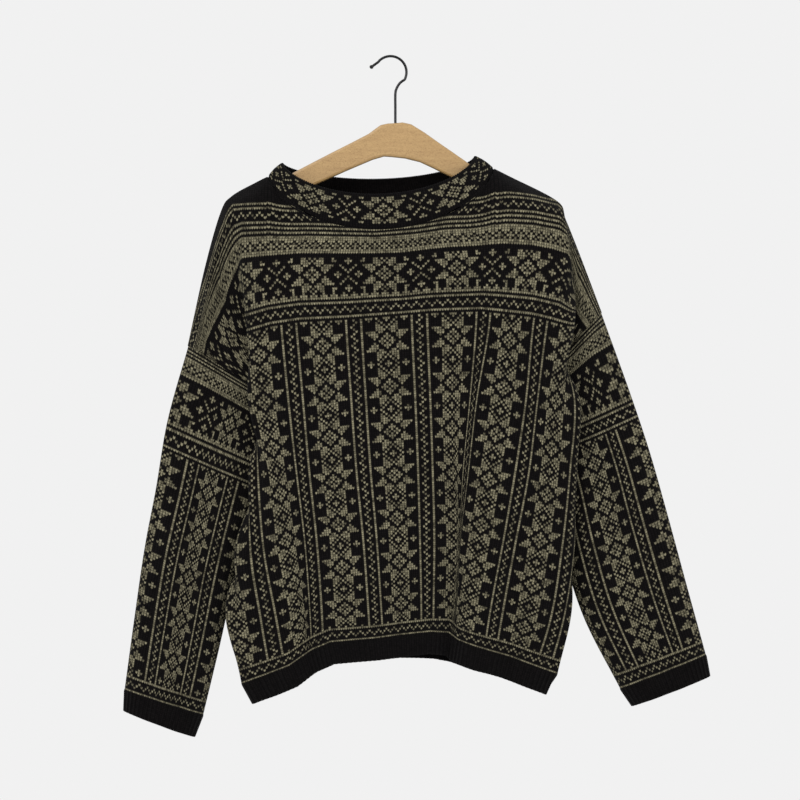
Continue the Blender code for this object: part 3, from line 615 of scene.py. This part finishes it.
def sleeve_grid(station, table, places, along, creases):
    """Points of one sleeve for each half stitch and row; the first column is its outer edge."""
    low = LEVEL_RUN["armhole"]
    rows = np.concatenate([RIDGE_ROWS, np.linspace(RIDGE_ROWS[-1], low, ARMHOLE_ROWS + 1)[1:]])
    across = np.array([float(station)])
    edges = []
    for side, hem, folds, drop in ((1, FRONT_HEM, FRONT_FOLDS, FRONT_NECK_DROP),
                                   (-1, BACK_HEM, BACK_FOLDS, BACK_NECK_DROP)):
        levels, slope = panel_levels(side, hem, folds, drop, across)
        edges.append(spline(list(LEVEL_RUN.values()), levels[:, 0], rows,
                            start=slope[0] / LEVEL_RUN["round"]))
    start = ring(edges[0], edges[1])
    half = len(start) // 2
    upward = start[0] - start[half]
    start[half] += upward / np.linalg.norm(upward) * UNDERARM_GAP
    stack = [start] + [section(*row, len(start)) for row in table]
    heading = stack[1].mean(axis=0) - start.mean(axis=0)
    stack[0] = start - heading / np.linalg.norm(heading) * ARMHOLE_TUCK
    stack[0] += (stack[0].mean(axis=0) - stack[0]) * TUCK_DRAW
    stack = np.stack(stack)
    centre = stack.mean(axis=1)
    run = np.concatenate([[0], np.cumsum(np.linalg.norm(np.diff(centre, axis=0), axis=1))])
    lines = np.arange(SLEEVE_ROWS + 1, dtype=float)
    columns = np.arange(0, SLEEVE_STITCHES, 0.5)
    middle = SLEEVE_STITCHES / 2
    stitches, shares = np.array(places, float).T
    share = np.where(columns <= middle, np.interp(columns, stitches, shares),
                     2 - (SLEEVE_STITCHES - columns) / middle)
    dense = np.linspace(0, len(start), 241)
    grid = np.empty((len(lines), len(columns), 3))
    for dip in (0.0, V_DIP):
        at = np.interp(lines + dip, [p[0] for p in along], [p[1] for p in along]) * run[-1]
        loops = spline(run, stack, at)
        which = np.flatnonzero(np.isclose(columns % 1, 0.0 if dip else 0.5))
        for line, loop in enumerate(loops):
            curve = closed_spline(loop, dense)
            step = np.concatenate([[0], np.cumsum(np.linalg.norm(np.diff(curve, axis=0), axis=1))])
            front = step[120]
            place = np.where(share <= 1, share * front, front + (share - 1) * (step[-1] - front))
            grid[line, which] = np.stack([np.interp(place[which], step, curve[:, axis])
                                          for axis in range(3)], axis=1)
    toward = np.where(grid[..., 1] < 0, 1.0, -1.0)
    grid[..., 1] += toward * fold_depth(grid, creases) * np.clip(abs(grid[..., 1]) / 12, 0, 1)
    return grid, columns, lines


def sleeve(name, station, table, places, along, creases):
    """A sleeve: stitched outside and a plain inside."""
    grid, columns, lines = sleeve_grid(station, table, places, along, creases)
    wrapped = np.append(columns, SLEEVE_STITCHES)
    row, stitch = np.meshgrid(np.arange(SLEEVE_ROWS), np.floor(columns + 0.25 + 0.5).astype(int),
                              indexing="ij")
    cloth = Cloth(name)
    normal = normals(grid)
    cloth.add(grid, sleeve_yarn(stitch, row), wrapped, lines, WHOLE_MAP, normal, closed=True)
    few = (slice(None, None, INSIDE_STEP), slice(None, None, 2 * INSIDE_STEP))
    inside = Cloth(name + "_inside")
    inside.add((grid - normal * WALL)[few], PLAIN, wrapped[few[1]], lines[few[0]], WHOLE_MAP,
               -normal[few], closed=True)
    return cloth.make(knit), inside.make(knit), grid


def around(loop, count):
    """Points spaced evenly round a closed loop."""
    closed = np.concatenate([loop, loop[:1]])
    run = np.concatenate([[0], np.cumsum(np.linalg.norm(np.diff(closed, axis=0), axis=1))])
    at = np.linspace(0, run[-1], count, endpoint=False)
    return np.stack([np.interp(at, run, closed[:, axis]) for axis in range(3)], axis=1)


RIB_POINTS = 6
RIB_ROWS = 12
RIB_HIGH = 1.1


def rib_band(name, start, end, ribs):
    """A ribbed band between two loops, its lower edge turned in to a plain inside."""
    count = ribs * RIB_POINTS
    top, bottom = around(start, count), around(end, count)
    shares = np.linspace(0, 1, RIB_ROWS + 1)[:, None, None]
    plain = top * (1 - shares) + bottom * shares
    normal = normals(plain)
    wave = np.cos(2 * math.pi * np.arange(count) / RIB_POINTS)
    height = RIB_HIGH * (0.5 + 0.5 * wave)[None, :, None]
    ease = np.clip(np.minimum(shares * 12, 1), 0.35, 1)
    outer = plain + normal * (height * ease - 0.2)
    down = plain[-1] - plain[-2]
    down /= np.linalg.norm(down, axis=1)[:, None]
    turn = [plain[-1] + normal[-1] * (height[0] * 0.7 - 0.5) + down * 0.9,
            plain[-1] - normal[-1] * 1.4 + down * 1.1,
            plain[-1] - normal[-1] * WALL + down * 0.2]
    inner = [plain[-4] - normal[-4] * WALL, plain[0] - normal[0] * WALL]
    grid = np.concatenate([outer, np.stack(turn), np.stack(inner), outer[:1]])
    stitch = np.arange(count + 1) / RIB_POINTS * 2
    turned = RIB_ROWS + np.array([0.5, 1, 1.5, 4.5, 12, 13])
    row = np.concatenate([np.arange(RIB_ROWS + 1), turned]).astype(float)
    cloth = Cloth(name)
    facing = np.zeros_like(grid)
    facing[:RIB_ROWS] = normal[:RIB_ROWS]
    cloth.add(grid, PLAIN, stitch, row, WHOLE_MAP, facing, closed=True)
    return cloth.make(rib)


def hem_band(front, back):
    """The ribbed hem below front and back; it draws in a little towards the bottom."""
    start = ring(front[-1], back[-1])
    above = ring(front[-8], back[-8])
    down = start - above
    down /= np.maximum(np.linalg.norm(down, axis=1), 1e-6)[:, None]
    middle = (start.max(axis=0) + start.min(axis=0)) / 2
    half = (start.max(axis=0) - start.min(axis=0)) / 2
    down = sum(np.roll(down, shift, axis=0) for shift in range(-HEM_EVEN, HEM_EVEN + 1))
    down /= np.linalg.norm(down, axis=1)[:, None]
    down[:, :2] -= HEM_DRAW * ((start - middle) / half)[:, :2]
    down /= np.linalg.norm(down, axis=1)[:, None]
    return rib_band("hem", start, start + down * RIB_HEIGHT, HEM_RIBS)


def band_top(part, drop_top, side):
    """One half of the neckband's top edge, from its left peak to its right one."""
    left, right = BAND_PEAKS
    angle = math.pi * (1 - part)
    corner = left[1] + (right[1] - left[1]) * part
    half = np.empty((len(part), 3))
    half[:, 0] = (left[0] + right[0]) / 2 + (right[0] - left[0]) / 2 * np.cos(angle)
    half[:, 1] = -side * BAND_TOP_DEPTH * np.sin(angle)
    half[:, 2] = corner + (drop_top - (left[1] + right[1]) / 2) * np.sin(angle) ** 1.3
    return half


def neckband():
    """The stand-up band, doubled over its rolled top edge."""
    part = np.linspace(0, 1, 401)
    halves = []
    for side, drop, top in ((1, FRONT_NECK_DROP, BAND_FRONT_TOP),
                            (-1, BACK_NECK_DROP, BAND_BACK_TOP)):
        base, _ = top_curve(NECK_L + (NECK_R - NECK_L) * part, drop, side)
        upper = band_top(part, top, side)
        middle = (base + upper) / 2
        run = np.concatenate([[0], np.cumsum(np.linalg.norm(np.diff(middle, axis=0), axis=1))])
        at = np.linspace(0, run[-1], 2 * BAND_STITCHES + 1)
        share = np.interp(at, run, part)
        if side < 0:
            share = share[::-1]
        base, _ = top_curve(NECK_L + (NECK_R - NECK_L) * share, drop, side)
        base[[0, -1], 1] = 0
        upper = band_top(share, top, side)
        halves.append((upper[:-1], base[:-1]))
    upper = np.concatenate([halves[0][0], halves[1][0]])
    base = np.concatenate([halves[0][1], halves[1][1]])
    columns = np.arange(0, 2 * BAND_STITCHES + 0.25, 0.5)
    lines = np.arange(BAND_ROWS + 1, dtype=float)
    dips = np.where(columns[:-1] % 1 == 0, V_DIP, 0.0)
    shares = np.clip(lines[:, None] + dips[None], 0, BAND_ROWS)[..., None] / BAND_ROWS
    grid = upper * (1 - shares) + base * shares
    normal = normals(grid)
    bulge = 1.4 * np.sin(math.pi * np.clip(shares, 0, 1)) - 1.0 * (shares > 0.93)
    outer = grid + normal * bulge
    up = grid[0] - grid[2]
    up /= np.linalg.norm(up, axis=1)[:, None]
    half = BAND_WALL / 2
    roll = [grid[0] - normal[0] * (half - half * math.cos(a)) + up * half * math.sin(a)
            for a in np.radians((150, 110, 70, 30))]
    inner = [grid[k] - normal[k] * BAND_WALL for k in (0, 3, 7, 12, 17)]
    cloth = Cloth("collar")
    row, stitch = np.meshgrid(np.arange(BAND_ROWS), np.floor(columns[:-1] + 0.75).astype(int),
                              indexing="ij")
    cloth.add(outer, band_yarn(stitch, row), columns, lines, (0.01, 0.52, 0.98, 0.47), normal,
              closed=True)
    rim = np.stack([inner[4], inner[3], inner[2], inner[1], inner[0]] + roll + [outer[0]])
    rows = np.array([-24, -19, -14, -9, -5, -4, -3, -2, -1, 0.0])
    facing = np.zeros_like(rim)
    facing[:4] = -normal[[17, 12, 7, 3]]
    cloth.add(rim, PLAIN, columns, rows, (0.01, 0.01, 0.98, 0.49), facing, closed=True)
    return cloth.make(knit)


def nodes_of(name):
    """A new material's node tree, its shader and a helper that makes and links nodes."""
    made = bpy.data.materials.new(name)
    made.use_nodes = True
    tree = made.node_tree
    shader = tree.nodes["Principled BSDF"]

    def node(kind, inputs=None, **settings):
        new = tree.nodes.new(kind)
        for key, value in settings.items():
            setattr(new, key, value)
        for key, value in (inputs or {}).items():
            if isinstance(value, bpy.types.NodeSocket):
                tree.links.new(value, new.inputs[key])
            else:
                new.inputs[key].default_value = value
        return new

    return made, tree, shader, node


def knit_material(name, two_colours):
    """Wool knit: heathered yarn, one V to a stitch with painted shade in the gaps between its legs and
    rows, and a soft fuzz.
    """
    made, tree, shader, node = nodes_of(name)
    stitch = node("ShaderNodeUVMap", uv_map="stitch")
    place = node("ShaderNodeSeparateXYZ", {0: stitch.outputs[0]})
    across, down = place.outputs[0], place.outputs[1]
    here = node("ShaderNodeTexCoord").outputs["Object"]

    def math_node(operation, first, second=0.0):
        return node("ShaderNodeMath", {0: first, 1: second}, operation=operation).outputs[0]

    def wave(value, times):
        turned = math_node("MULTIPLY", value, times * math.pi)
        return math_node("ABSOLUTE", math_node("SINE", turned))

    def mix_numbers(value, low, high):
        return math_node("ADD", math_node("MULTIPLY", value, high - low), low)

    side = wave(math_node("ADD", across, 0.5), 1)
    legs = math_node("MULTIPLY", math_node("POWER", side, 0.8),
                     mix_numbers(wave(across, 2), 0.62, 1.0))
    height = math_node("MULTIPLY", legs, mix_numbers(wave(down, 1), 0.35, 1.0))
    cell = node("ShaderNodeCombineXYZ", {0: math_node("FLOOR", math_node("ADD", across, 0.5)),
                                         1: math_node("FLOOR", down)})
    each = node("ShaderNodeTexWhiteNoise", {"Vector": cell.outputs[0]},
                noise_dimensions="2D").outputs[0]
    fibres = node("ShaderNodeTexNoise",
                  {"Vector": here, "Scale": 1400.0, "Detail": 3.0, "Roughness": 0.7})
    heather = node("ShaderNodeTexNoise",
                   {"Vector": here, "Scale": 520.0, "Detail": 3.0, "Roughness": 0.65})
    broad = node("ShaderNodeTexNoise", {"Vector": here, "Scale": 14.0, "Detail": 2.0})
    mixed = math_node("ADD", math_node("MULTIPLY", heather.outputs[0], 0.7),
                      math_node("MULTIPLY", each, 0.3))

    def ramp(value, stops):
        new = node("ShaderNodeValToRGB", {0: value})
        for element, (position, colour) in zip(new.color_ramp.elements, stops):
            element.position, element.color = position, (*colour, 1)
        return new.outputs[0]

    colour = ramp(mixed, ((0.25, (0.0020, 0.0014, 0.0016)), (0.75, (0.0070, 0.0054, 0.0056))))
    if two_colours:
        light = ramp(mixed, ((0.28, (0.050, 0.044, 0.029)), (0.72, (0.350, 0.318, 0.205))))
        yarn = node("ShaderNodeAttribute", attribute_name="yarn", attribute_type="GEOMETRY")
        colour = node("ShaderNodeMix", {"Factor": yarn.outputs["Fac"], 6: colour, 7: light},
                      data_type="RGBA").outputs[2]
    # Painted shade: the yarn's colour falls to 3% in the gaps between stitch legs and between rows,
    # where shade falls, times a broad random tone of 0.85 to 1.15
    painted_gap_shade_and_tone = math_node("MULTIPLY", mix_numbers(height, 0.03, 1.0),
                      mix_numbers(broad.outputs[0], 0.85, 1.15))
    colour_with_painted_shade = node("ShaderNodeVectorMath", {0: colour, "Scale": painted_gap_shade_and_tone}, operation="SCALE")
    tree.links.new(colour_with_painted_shade.outputs[0], shader.inputs["Base Color"])
    relief = math_node("ADD", height, math_node("MULTIPLY", fibres.outputs[0], 0.8))
    bump = node("ShaderNodeBump", {"Height": relief, "Strength": 0.6, "Distance": 0.0007})
    tree.links.new(bump.outputs[0], shader.inputs["Normal"])
    shader.inputs["Roughness"].default_value = 0.95
    shader.inputs["Specular IOR Level"].default_value = 0.05
    shader.inputs["Sheen Weight"].default_value = 0.02
    shader.inputs["Sheen Roughness"].default_value = 0.6
    return made


def wood_material():
    """Varnished beech: soft long grain with small dark flecks."""
    made, tree, shader, node = nodes_of("beech")
    here = node("ShaderNodeTexCoord").outputs["Object"]
    long = node("ShaderNodeMapping", {"Vector": here, "Scale": (6.0, 60.0, 60.0)})
    grain = node("ShaderNodeTexNoise", {"Vector": long.outputs[0], "Scale": 5.0, "Detail": 6.0,
                                        "Roughness": 0.6, "Distortion": 0.4})
    fleck_place = node("ShaderNodeMapping", {"Vector": here, "Scale": (260.0, 480.0, 480.0)})
    flecks = node("ShaderNodeTexNoise",
                  {"Vector": fleck_place.outputs[0], "Scale": 4.0, "Detail": 2.0})
    ramp = node("ShaderNodeValToRGB", {0: grain.outputs[0]})
    ramp.color_ramp.elements[0].position = 0.30
    ramp.color_ramp.elements[0].color = (0.34, 0.205, 0.078, 1)
    ramp.color_ramp.elements[1].position = 0.72
    ramp.color_ramp.elements[1].color = (0.43, 0.275, 0.110, 1)
    spots = node("ShaderNodeValToRGB", {0: flecks.outputs[0]})
    spots.color_ramp.elements[0].position = 0.30
    spots.color_ramp.elements[0].color = (0.52, 0.44, 0.36, 1)
    spots.color_ramp.elements[1].position = 0.48
    spots.color_ramp.elements[1].color = (1, 1, 1, 1)
    colour = node("ShaderNodeMix", {"Factor": 1.0, 6: ramp.outputs[0], 7: spots.outputs[0]},
                  data_type="RGBA", blend_type="MULTIPLY")
    tree.links.new(colour.outputs[2], shader.inputs["Base Color"])
    bump = node("ShaderNodeBump",
                {"Height": grain.outputs[0], "Strength": 0.15, "Distance": 0.0004})
    tree.links.new(bump.outputs[0], shader.inputs["Normal"])
    shader.inputs["Roughness"].default_value = 0.42
    shader.inputs["Coat Weight"].default_value = 0.25
    shader.inputs["Coat Roughness"].default_value = 0.25
    return made


def steel_material():
    """Dark burnished wire with drawing marks."""
    made, tree, shader, node = nodes_of("burnished_wire")
    here = node("ShaderNodeTexCoord").outputs["Object"]
    marks = node("ShaderNodeTexNoise", {"Vector": here, "Scale": 260.0, "Detail": 4.0})
    tone = node("ShaderNodeValToRGB", {0: marks.outputs[0]})
    tone.color_ramp.elements[0].color = (0.006, 0.006, 0.006, 1)
    tone.color_ramp.elements[1].color = (0.040, 0.040, 0.042, 1)
    tree.links.new(tone.outputs[0], shader.inputs["Base Color"])
    rough = node("ShaderNodeMapRange", {0: marks.outputs[0], 3: 0.22, 4: 0.45})
    tree.links.new(rough.outputs[0], shader.inputs["Roughness"])
    shader.inputs["Metallic"].default_value = 1.0
    return made


knit = knit_material("wool_knit", True)
rib = knit_material("wool_rib", False)

# Smaller creases on the solids' form: (across, height) of both ends, depths and half widths
FRONT_CREASES = (
    ((-150, -300), (-165, -470), 1.5, 4.0, 10.0, 8.0),
    ((60, -330), (72, -520), 0.5, 2.5, 12.0, 9.0),
    ((190, -420), (204, -700), 1.0, 4.0, 9.0, 12.0),
    ((-130, -640), (-150, -790), 1.0, 5.0, 9.0, 9.0),
    ((-4, -420), (0, -620), 0.0, 2.0, 14.0, 18.0),
    ((118, -660), (116, -790), 0.5, 5.0, 8.0, 10.0),
)
BACK_CREASES = (
    ((-150, -320), (-160, -600), 1.0, 3.5, 10.0, 9.0),
    ((-45, -520), (-52, -790), 0.5, 4.0, 10.0, 14.0),
    ((70, -600), (62, -790), 0.5, 4.5, 10.0, 9.0),
    ((165, -350), (176, -700), 1.0, 4.0, 9.0, 10.0),
)
LEFT_SLEEVE_CREASES = (
    ((-232, -500), (-262, -760), 2.0, 6.0, 12.0, 9.0),
    ((-255, -600), (-300, -690), 1.0, 3.0, 9.0, 9.0),
)
RIGHT_SLEEVE_CREASES = (
    ((262, -480), (316, -700), 2.0, 5.0, 10.0, 12.0),
    ((300, -560), (352, -720), 1.0, 4.0, 9.0, 10.0),
)

front, front_inside, front_grid = panel("front_knit", 1, FRONT_HEM, FRONT_FOLDS, FRONT_NECK_DROP,
                                        FRONT_CREASES)
back, back_inside, back_grid = panel("back_knit", -1, BACK_HEM, BACK_FOLDS, BACK_NECK_DROP,
                                     BACK_CREASES)
left, left_inside, left_grid = sleeve("sleeve_left_knit", 0, LEFT_SLEEVE, LEFT_SLEEVE_PLACES,
                                      LEFT_SLEEVE_RUN, LEFT_SLEEVE_CREASES)
right, right_inside, right_grid = sleeve("sleeve_right_knit", LAST, RIGHT_SLEEVE,
                                         RIGHT_SLEEVE_PLACES, RIGHT_SLEEVE_RUN,
                                         RIGHT_SLEEVE_CREASES)
hem = hem_band(front_grid, back_grid)
left_cuff = rib_band("cuff_left_rib", left_grid[-1],
                     section(*LEFT_CUFF_END, CUFF_HALF, CUFF_POINTS), LEFT_CUFF_RIBS)
right_cuff = rib_band("cuff_right_rib", right_grid[-1],
                      section(*RIGHT_CUFF_END, CUFF_HALF, CUFF_POINTS), RIGHT_CUFF_RIBS)
collar = neckband()

PIECES = (
    # piece      its inside     node            slot    flat width and length, metres, and cut area
    (front, front_inside, "front", "knit", (0.63, 0.61), 0.35),
    (back, back_inside, "back", "knit", (0.63, 0.61), 0.355),
    (left, left_inside, "sleeve_left", "knit", (0.35, 0.43), 0.128),
    (right, right_inside, "sleeve_right", "knit", (0.35, 0.43), 0.128),
    (collar, None, "neckband", "knit", (0.62, 0.088), None),
    (hem, None, "hem_rib", "rib", (1.0, 0.033), None),
    (left_cuff, None, "cuff_left", "rib", (0.24, 0.032), None),
    (right_cuff, None, "cuff_right", "rib", (0.26, 0.032), None),
)
for piece, inside, node, slot, flat, area in PIECES:
    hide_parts(node)
    insides = [] if inside is None else [inside]
    for part in [piece] + insides:
        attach(part, "root")

bpy.data.objects["hanger_arms"].material_slots[0].material = wood_material()
bpy.data.objects["hanger_hook"].material_slots[0].material = steel_material()


# Stage: a plain pale floor, an even pale world, soft light, camera at the photograph's angle
def plain(name, size, place, turn, colour):
    """A plain sheet for the stage."""
    mesh = bpy.data.meshes.new(name)
    half = size / 2
    corners = [(-half, -half, 0), (half, -half, 0), (half, half, 0), (-half, half, 0)]
    mesh.from_pydata(corners, [], [(0, 1, 2, 3)])
    made = bpy.data.objects.new(name, mesh)
    made.location = place
    made.rotation_euler = turn
    paint = bpy.data.materials.new(name)
    paint.use_nodes = True
    paint.node_tree.nodes["Principled BSDF"].inputs["Base Color"].default_value = (*colour, 1)
    paint.node_tree.nodes["Principled BSDF"].inputs["Roughness"].default_value = 1.0
    paint.node_tree.nodes["Principled BSDF"].inputs["Specular IOR Level"].default_value = 0.0
    made.data.materials.append(paint)
    bpy.context.scene.collection.objects.link(made)
    return made


plain("floor", 20.0, (0, 0, -2.2), (0, 0, 0), (0.80, 0.80, 0.80))


def area_light(name, place, target, size, power):
    """A soft square light that looks at a point."""
    data = bpy.data.lights.new(name, "AREA")
    data.shape = "SQUARE"
    data.size = size
    data.energy = power
    made = bpy.data.objects.new(name, data)
    made.location = place
    made.rotation_euler = (Vector(target) - Vector(place)).to_track_quat("-Z", "Y").to_euler()
    bpy.context.scene.collection.objects.link(made)
    return made


area_light("key", (-1.6, -2.6, 1.0), (0, 0, -0.4), 1.6, 55)
area_light("fill", (2.2, -2.4, 0.2), (0, 0, -0.5), 2.0, 30)
world = bpy.data.worlds.new("studio")
world.use_nodes = True
world.node_tree.nodes["Background"].inputs["Color"].default_value = (0.88, 0.88, 0.88, 1)
world.node_tree.nodes["Background"].inputs["Strength"].default_value = 1.0
bpy.context.scene.world = world
bpy.context.scene.view_settings.view_transform = "Standard"

camera = bpy.data.cameras.new("camera")
camera.lens = 212.6
camera.sensor_width = 36
camera.clip_end = 50
eye = bpy.data.objects.new("camera", camera)
eye.location = (0.0127, -6.0, -0.435)
eye.rotation_euler = (math.pi / 2, 0, 0)
bpy.context.scene.collection.objects.link(eye)
bpy.context.scene.camera = eye
